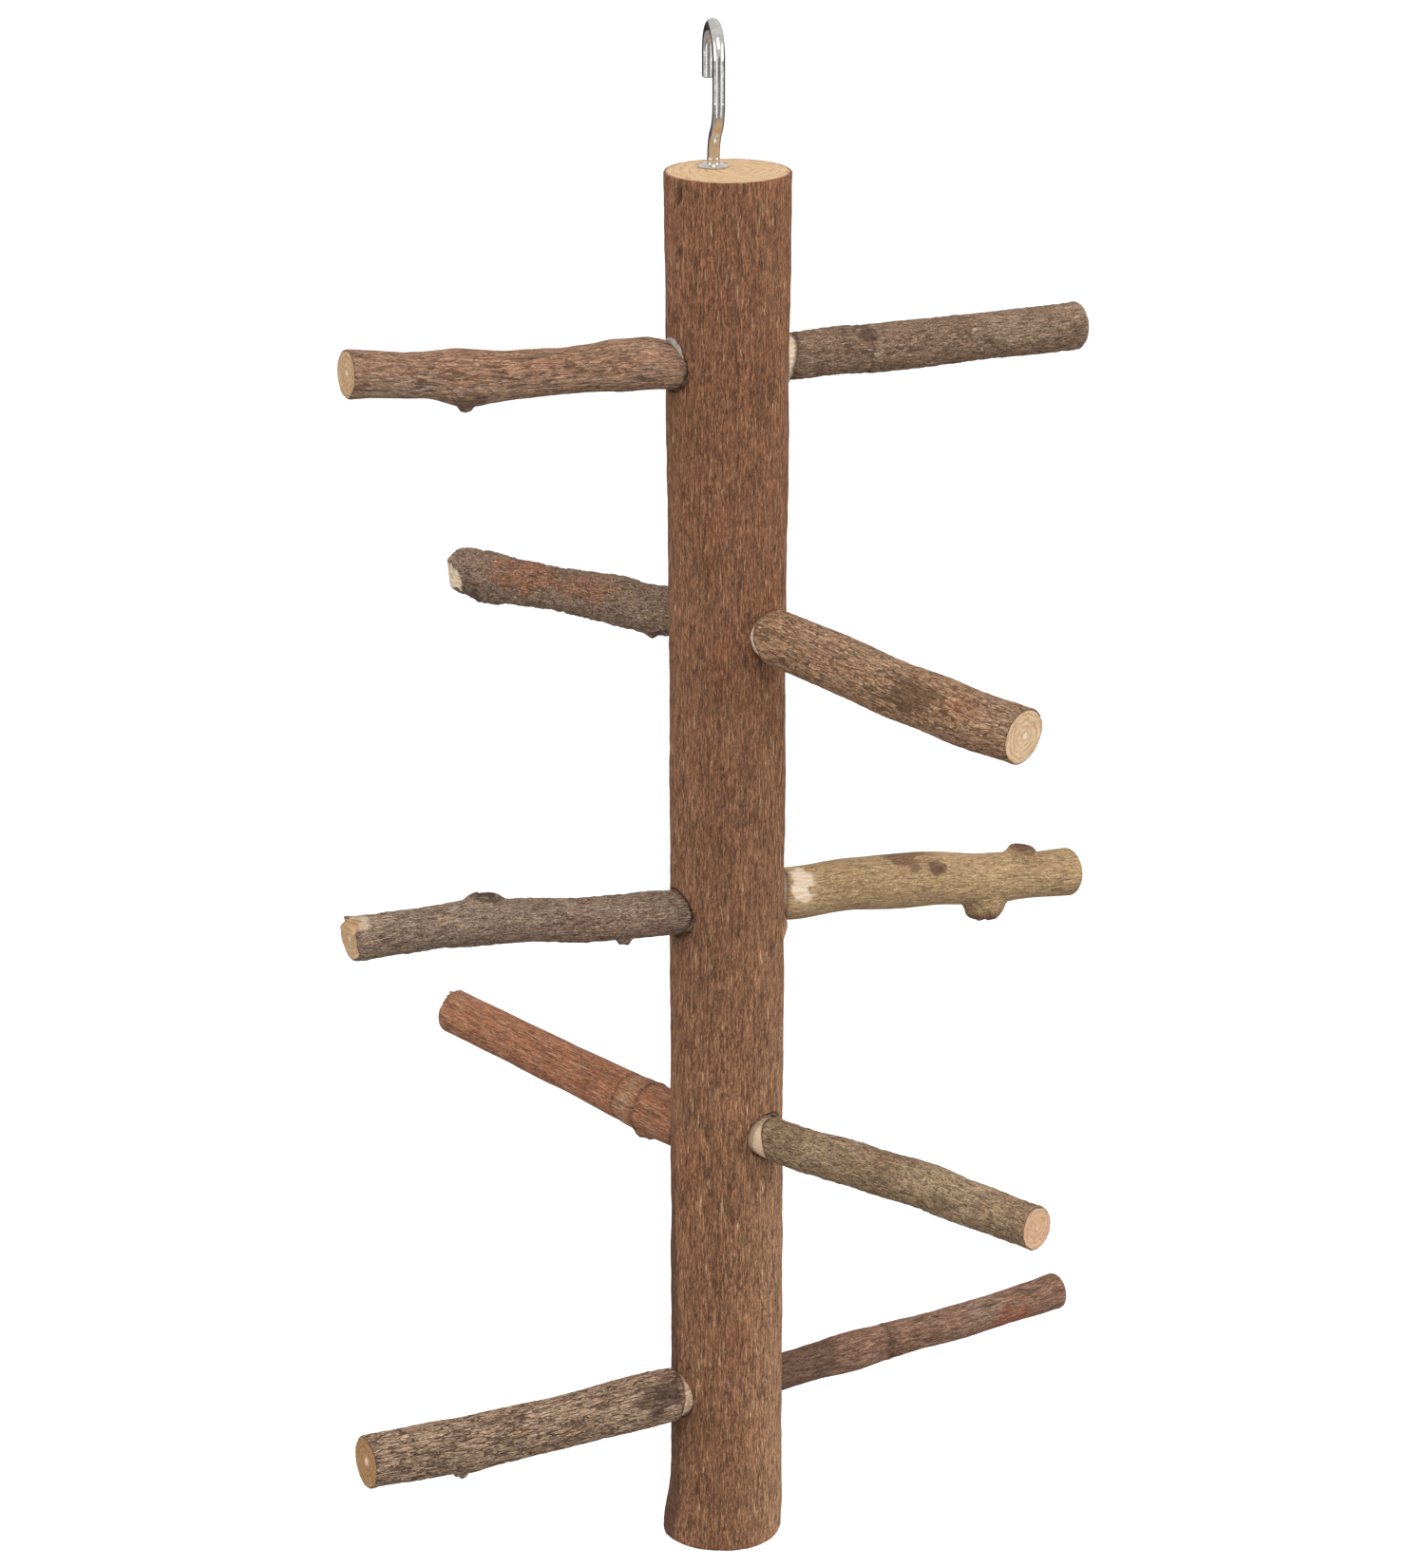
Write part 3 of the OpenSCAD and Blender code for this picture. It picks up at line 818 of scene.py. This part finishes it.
def build_glue(name, look):
    """A lumpy ring of glue round the tenon: a closed loop of points carried round the perch's axis. It
    rests on the pole's side, whose distance out is the root of radius squared less across squared."""
    ax, seed = AXES[name], look["seed"]
    a, t = np.meshgrid(angles(GLUE_COLS), angles(GLUE_RING), indexing="ij")
    deg = from_front(ax, np.degrees(a))
    thin = 0.2 if "glue" in look else 0.08
    blob = thin + thin * np.maximum(0, layered(2 * np.cos(a), 2 * np.sin(a), 0 * a, seed + 50, 3))
    for way, wide, much in look.get("glue", ()):
        blob = blob + much * bump(apart(deg, way), 0, wide)
    blob = blob * (1 + 0.25 * noise(5 * np.cos(a) + np.cos(t), 5 * np.sin(a), np.sin(t), seed + 52))
    away = look["tenon"] + 0.1 + 0.5 * (blob - thin) + blob * np.cos(t)
    across, up = away * np.cos(a), away * np.sin(a)
    tilt = math.asin(ax["out"][2])
    wall = np.sqrt(through(ax["depth"], POLE_GIRTH) ** 2 - across ** 2) + up * math.sin(tilt)
    out = wall / math.cos(tilt) + 0.9 * blob * np.sin(t)
    return ring_mesh(name.replace("perch", "glue") + "_bead", carried(ax, out, across, up))


# What each perch looks like, in millimetres and in degrees as seen from the front: girth and line are
# (distance out, radius or rise); swells (at, way, long, wide, high); rings (at, half, high, field);
# stubs (at, way, long, wide, high, field); patches (field, at, way, long, wide, share); bites, glue and
# shaved_roots (way, wide, size); mouth is the socket's radius and where it is off the middle.
LOOKS = {
    "perch_1_left": dict(
        seed=1, bark="fissured", tenon=5.7, lumps=0.25, chips=1, tip_break=0.7,
        girth=[(11, 6.3), (20, 6.5), (31, 6.9), (44, 6.3), (62, 6.5), (76, 7.2), (88, 6.1), (109.3, 6.5)],
        line=[(12, 0.3), (32, 0.6), (52, -0.5), (70, -1.1), (90, -0.2), (107, 0.9)],
        swells=[(24, 80, 9, 60, 1.3), (33, 75, 6, 50, 0.8), (77, -60, 10, 60, 0.8)],
        stubs=[(76.5, -74, 1.5, 1.3, 1.3, "dark")], glue=[(80, 70, 1.3)],
        gap=-0.8, mouth=(6.8, -70, 0.4),
        patches=[("red", 70, 60, 40, 60, 0.35), ("red", 35, 30, 18, 50, 0.3),
                 ("pale", 95, -40, 12, 40, 0.35), ("dark", 77, -50, 5, 30, 0.6)]),
    "perch_1_right": dict(
        seed=2, bark="rough", tenon=5.7, lumps=0.12, worn=2.2, blunt=0.55, gap=1.2,
        glue=[(-80, 60, 0.9)], shaved_roots=[(60, 100, 1.2)],
        girth=[(11, 6.3), (22, 6.4), (50, 6.7), (80, 6.45), (111, 6.6)],
        line=[(12, 0.3), (32, 0.5), (44, -0.1), (111, -0.1)],
        rings=[(40.5, 0.5, -0.35, "dark"), (42.5, 1.0, 0.12, "pale")],
        patches=[("dark", 40.5, 60, 4, 30, 0.7), ("pale", 90, 40, 18, 60, 0.3)]),
    "perch_2_left": dict(
        seed=3, bark="bumpy", tenon=5.7, lumps=0.35, worn=4.4, blunt=0.75,
        girth=[(11, 6.3), (28, 6.5), (42, 6.8), (58, 6.2), (68, 6.0), (80, 6.3), (94, 7.0), (110, 6.3)],
        line=[(12, -0.8), (28, -0.8), (48, -0.1), (78, 0.0), (94, -0.5), (106, 0.3)],
        swells=[(94, 90, 8, 70, 0.3)], stubs=[(28, -75, 1.5, 1.2, 0.8, "dark")],
        cuts=[dict(s=109.5, radius=4.2, way=-4, lean=14)],
        patches=[("red", 75, 50, 14, 60, 0.85), ("red", 52, 40, 12, 50, 0.6),
                 ("dark", 97, -20, 5, 40, 0.5)]),
    "perch_2_right": dict(
        seed=4, bark="soft_net", tenon=5.8, lumps=0.2, shaved_roots=[(-35, 80, 3.0)], chips=1,
        girth=[(11, 7.3), (20, 7.5), (50, 7.55), (70, 7.7), (82, 7.85), (108, 7.6)],
        line=[(12, 0.3), (30, 0.3), (66, -1.0), (91, -1.0), (108, -0.2)],
        swells=[(78, 70, 8, 50, 0.5)],
        patches=[("dark", 73, 20, 9, 42, 0.7), ("red", 91, 35, 8, 30, 0.45), ("pale", 100, 60, 8, 50, 0.5),
                 ("pale", 45, 70, 25, 40, 0.3)]),
    "perch_3_left": dict(
        seed=5, bark="rough", tenon=5.6, gap=-1.2, mouth=(7.1, -30, 0.5), lumps=0.22,
        tip_break=0.8, chips=2, slant=0.18,
        girth=[(11, 6.2), (24, 6.55), (42, 6.3), (64, 6.25), (80, 6.5), (88, 5.95), (98, 6.1), (112, 6.25)],
        line=[(12, 0.1), (41, -0.3), (64, 1.0), (80, 1.4), (96, 0.4), (112, -0.4)],
        stubs=[(74, 92, 4.2, 3.2, 1.9, "dark"), (32, -76, 1.6, 1.2, 1.5, "dark")],
        bites=[(62, 34, 3.0), (140, 30, 1.2), (-30, 24, 0.8)],
        patches=[("bare", 111.5, 62, 3.4, 28, 0.6), ("pale", 85, 60, 25, 60, 0.4),
                 ("red", 40, 0, 20, 40, 0.3), ("red", 55, -40, 25, 30, 0.3)]),
    "perch_3_right": dict(
        seed=6, bark="smooth", tenon=5.7, lumps=0.35, worn=2.4, blunt=0.6,
        girth=[(11, 7.2), (22, 7.5), (42, 7.5), (60, 7.8), (74, 7.6), (88, 7.0), (99, 6.6), (116, 6.9)],
        line=[(12, -0.9), (22, -0.9), (40, 0.4), (65, 0.2), (82, -0.5), (99, -1.1), (116, -0.8)],
        swells=[(64, 60, 6, 40, 0.5), (84, -70, 9, 60, 0.9)],
        stubs=[(82, -78, 4.2, 3.6, 4.4, "dark"), (94, 85, 3.6, 2.6, 2.6, "dark"),
               (63.5, 38, 1.5, 1.3, 0.5, "dark")],
        patches=[("bare", 20.5, 40, 4.3, 46, 0.9), ("dark", 54, 88, 6, 45, 0.75),
                 ("dark", 64, 40, 3, 16, 0.8), ("red", 98, 70, 8, 60, 0.3), ("red", 58, 70, 9, 45, 0.4)]),
    "perch_4_left": dict(
        seed=7, bark="smooth", tenon=5.7, lumps=0.15, tip_break=0.3, chips=2, torn=1.6, slant=0.1,
        girth=[(11, 7.3), (30, 7.6), (38, 7.2), (50, 6.9), (62, 6.65), (114, 6.5)],
        line=[(12, 0.2), (114, 0.0)],
        rings=[(30, 0.7, 0.35, "dark"), (34.5, 1.8, 0.15, "pale"), (38.5, 0.4, -0.1, "dark")],
        stubs=[(28, -66, 2.4, 1.9, 1.0, "dark")],
        patches=[("red", 60, 40, 60, 120, 0.5), ("pale", 34, 40, 3, 120, 0.3)]),
    "perch_4_right": dict(
        seed=8, bark="rough", tenon=5.7, shaved_roots=[(-10, 85, 3.6)], mouth=(6.7, -10, 0.5), lumps=0.25,
        chips=1,
        girth=[(11, 6.3), (29, 6.35), (45, 6.5), (75, 6.4), (112, 6.3)],
        line=[(12, -0.9), (29, -1.3), (52, -0.3), (73, 0.4), (89, -0.4), (112, -1.0)],
        swells=[(78, 75, 9, 70, 0.6)],
        patches=[("pale", 85, 50, 18, 60, 0.55), ("pale", 40, 60, 12, 40, 0.4),
                 ("dark", 84, 5, 5, 20, 0.5)]),
    "perch_5_left": dict(
        seed=9, bark="netted", tenon=5.8, shaved_roots=[(-15, 110, 3.2)], lumps=0.2, tip_break=0.6, chips=1,
        girth=[(11, 7.2), (25, 7.6), (50, 7.45), (70, 7.4), (84, 7.5), (100, 7.45), (113, 7.3)],
        line=[(12, 0.6), (25, 0.6), (60, -0.3), (83, -0.6), (100, 0.1), (113, 0.5)],
        swells=[(84, -70, 8, 60, 0.6)], stubs=[(87, -78, 1.6, 1.2, 1.2, "dark")],
        patches=[("dark", 26, 25, 8, 40, 0.8), ("dark", 21, 60, 5, 30, 0.5)]),
    "perch_5_right": dict(
        seed=10, bark="fissured", tenon=5.0, lumps=0.18, worn=2.0, blunt=0.6,
        girth=[(11, 5.2), (26, 5.2), (43, 5.7), (56, 5.2), (66, 4.95), (77, 5.1), (90, 4.9), (119, 5.3)],
        line=[(12, -0.2), (54, 0.0), (77, -0.3), (98, 0.1), (119, 0.9)],
        rings=[(54, 0.8, 0.2, "dark")],
        patches=[("pale", 87, 30, 6, 80, 0.3), ("red", 95, -20, 10, 50, 0.6),
                 ("dark", 24, 20, 12, 120, 0.5), ("dark", 55, 20, 3, 60, 0.25)]),
}

PALE_WOOD = ("#d8b793", "#e2c4a0", "#b48c66", "#ecdcc4")
TAN_WOOD = ("#c4a07a", "#d0ae88", "#9d7650", "#e8d8c0")

POLE_FINISH = dict(
    bark=("#704930", "#8e6043", "#9b6b4d", "#b58462"), wood=("#d8b58d", "#dfbf99", "#b68c60", "#c79d72"),
    fleck="#bd906b", red="#a65d3b", pale="#cda07b", dark="#533a2c", ring_gap=2.3, pith=(3.0, 2.0, 0.8, 0.6),
    cracks=0.5, net=0.45, contrast=0.36, drawn=(0.09, 0.3))

FINISHES = {
    "perch_1_left": dict(
        bark=("#7b5943", "#9b765c", "#ad886f", "#c7a487"), wood=TAN_WOOD, fleck="#c9a88c", red="#b16f49",
        pale="#b7b09a", dark="#4f3f34", cracks=0.4, net=0.5, contrast=0.27, drawn=(0.1, 0.35)),
    "perch_1_right": dict(
        bark=("#644d3b", "#80634d", "#93735f", "#ac8d74"), wood=PALE_WOOD, fleck="#bba086", red="#a15a37",
        pale="#ad9a81", dark="#4d3b2f", flecks=0.7, contrast=0.26),
    "perch_2_left": dict(
        bark=("#614d3d", "#816554", "#957967", "#af9883"), wood=TAN_WOOD, fleck="#c2a78a", red="#a85e3b",
        pale="#b4ab97", dark="#4f3e34", cracks=0.6, net=0.4, contrast=0.36),
    "perch_2_right": dict(
        bark=("#7a563e", "#a07758", "#b28868", "#d1a57e"), wood=PALE_WOOD, fleck="#cca787", red="#ba6844",
        pale="#c4ac91", dark="#5e4531", pith=(0.6, 0.2, 1.1, 1.0), net=0.8, contrast=0.26,
        drawn=(0.12, 0.4)),
    "perch_3_left": dict(
        bark=("#665246", "#867061", "#978070", "#b09986"), wood=TAN_WOOD, fleck="#c0a183", red="#875643",
        pale="#a4907e", dark="#4e3c30", cracks=0.5, net=0.45, contrast=0.36),
    "perch_3_right": dict(
        bark=("#9c7b58", "#bb9870", "#c6a277", "#c6b88c"), wood=PALE_WOOD, fleck="#d3be94", red="#9f6b4e",
        pale="#b7a68f", dark="#715343", net=0.25, contrast=0.24),
    "perch_4_left": dict(
        bark=("#7f5239", "#9c6b4d", "#ab785c", "#c69576"), wood=TAN_WOOD, fleck="#cea689", red="#ae6740",
        pale="#ab9676", dark="#4d3c31", cracks=0.5, net=0.15, drawn=(0.06, 0.25)),
    "perch_4_right": dict(
        bark=("#6d5540", "#907459", "#a08366", "#bc9d77"),
        wood=("#d3ab8a", "#dcb694", "#b98a68", "#e6c8aa"), fleck="#c3a986", red="#a95e3b", pale="#c5aa89",
        dark="#4e3b30", pith=(0.3, 0.1, 0.8, 0.3), cracks=0.5, net=0.35),
    "perch_5_left": dict(
        bark=("#7c5e4d", "#a98971", "#bf9c83", "#ccc8aa"),
        wood=("#a98058", "#b58c62", "#86603e", "#dcc6a8"), fleck="#d6b493", red="#c5724a", pale="#ccc2a8",
        dark="#584238", pith=(0.5, 0.5, 1.5, 1.0), cracks=0.3, net=1.0, drawn=(0.11, 0.4)),
    "perch_5_right": dict(
        bark=("#624532", "#89634e", "#98715e", "#b78f78"), wood=TAN_WOOD, fleck="#c4a385", red="#ac5a38",
        pale="#b3a291", dark="#4f3d31", net=0.15, contrast=0.24, drawn=(0.12, 0.35)),
}


# -------- put together

def dress(piece, material, node):
    """Gives a piece of wood or glue its material and body, and hides the CAD node that it stands for."""
    piece.data.materials.append(material)
    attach(piece, "tower")
    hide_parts(node)


def plate(node, material):
    """Gives a metal CAD node its material."""
    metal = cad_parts[node]
    metal.data.materials.clear()
    metal.data.materials.append(material)


pole_material = bark_material("pole_bark", **POLE_FINISH)
dress(build_pole(), pole_material, "pole")

glue_finish = glue_material()
for number, (stick_name, look) in enumerate(LOOKS.items()):
    material = bark_material(stick_name + "_bark", shift=11.0 * number, **FINISHES[stick_name])
    dress(build_perch(stick_name, look), material, stick_name)
    dress(build_glue(stick_name, look), glue_finish, stick_name.replace("perch", "glue"))

nickel = nickel_material()
plate("screw_hook", nickel)
plate("hook_collar", nickel)


# -------- floor, light and camera

MIDDLE = Vector((POLE_X, POLE_Y, (POLE_LOW[2] + POLE_HIGH[2]) / 2))
FLOOR_HALF, FLOOR_DROP = 60.0, 0.25
CARD_AWAY, CARD_LOW, CARD_HIGH = 1.6, -1.4, 0.15
WHITE, BLACK = (1, 1, 1, 1), (0, 0, 0, 1)


def build_floor():
    """A wide pale floor, a little below the hanging tower."""
    level = POLE_LOW[2] - FLOOR_DROP
    corners = [(FLOOR_HALF * u, FLOOR_HALF * v, level) for u, v in ((-1, -1), (1, -1), (1, 1), (-1, 1))]
    floor = place_mesh("floor", corners, [(0, 1, 2, 3)])
    sheet = Sheet("pale_floor")
    place = sheet.add("TexCoord").outputs["Object"]
    sheet.finish(sheet.mix(sheet.cloud(place, 0.5, 2.0), "#f4f4f4", "#fafafa"), 0.9)
    sheet.shade(Emission_Color=WHITE, Emission_Strength=0.35)
    floor.data.materials.append(sheet.material)
    # The floor shows white and throws no light back up at the tower
    floor.visible_diffuse = False
    floor.visible_glossy = False


def soft_box(name, place, size, watts):
    """A square area light at place, turned to face the middle of the tower."""
    lamp = bpy.data.lights.new(name, "AREA")
    lamp.size = size
    lamp.energy = watts
    holder = bpy.data.objects.new(name, lamp)
    holder.location = place
    aim = MIDDLE - Vector(place)
    holder.rotation_euler = aim.to_track_quat("-Z", "Y").to_euler()
    bpy.context.scene.collection.objects.link(holder)


def build_card(turn, half, glow):
    """A tall card out of sight, white or dark, for the bright metal to mirror."""
    c, s = math.cos(math.radians(turn)), math.sin(math.radians(turn))
    corners = [(CARD_AWAY * c - half * u * s, CARD_AWAY * s + half * u * c, level)
               for u, level in ((-1, CARD_LOW), (1, CARD_LOW), (1, CARD_HIGH), (-1, CARD_HIGH))]
    name = "card_%d" % (turn % 360)
    card = place_mesh(name, corners, [(0, 1, 2, 3)])
    sheet = Sheet(name)
    sheet.shade(Base_Color=BLACK, Emission_Color=WHITE, Emission_Strength=glow)
    card.data.materials.append(sheet.material)
    card.visible_camera = False
    card.visible_diffuse = False
    card.visible_shadow = False


def build_world():
    """An even surround as in a light tent, bright above and dimmer below the level of the eye."""
    world = bpy.data.worlds.new("tent")
    world.use_nodes = True
    nodes, links = world.node_tree.nodes, world.node_tree.links
    sky = nodes["Background"]
    sky.inputs["Color"].default_value = WHITE
    where = nodes.new("ShaderNodeTexCoord")
    parts = nodes.new("ShaderNodeSeparateXYZ")
    level = nodes.new("ShaderNodeMapRange")
    level.interpolation_type = "SMOOTHSTEP"
    for key, value in (("From Min", -0.25), ("From Max", 0.15), ("To Min", 0.45), ("To Max", 0.8)):
        level.inputs[key].default_value = value
    links.new(where.outputs["Generated"], parts.inputs[0])
    links.new(parts.outputs["Z"], level.inputs["Value"])
    links.new(level.outputs[0], sky.inputs["Strength"])
    bpy.context.scene.world = world


def build_camera():
    """A long lens on the front, above the top of the tower and looking down at its middle."""
    camera = bpy.data.cameras.new("camera")
    camera.sensor_width = 36
    camera.lens = 105.8
    camera.clip_end = 100
    holder = bpy.data.objects.new("camera", camera)
    holder.location = (POLE_X - 0.00405, POLE_Y - 1.208, POLE_TOP + 0.237)
    holder.rotation_euler = (math.radians(90 - 18.68), 0, 0)
    bpy.context.scene.collection.objects.link(holder)
    bpy.context.scene.camera = holder


build_floor()
build_world()
soft_box("key", (0.3, -1.9, 1.95), 1.7, 34)
soft_box("left_fill", (-1.9, -0.6, 0.3), 1.2, 9)
soft_box("right_fill", (1.9, -0.6, 0.3), 1.2, 12)
for turn, half, glow in ((-40, 0.3, 1.4), (-125, 0.3, 1.5), (90, 5.5, 0.02), (-85, 0.2, 0.12)):
    build_card(turn, half, glow)
build_camera()
bpy.context.scene.view_settings.view_transform = "Standard"
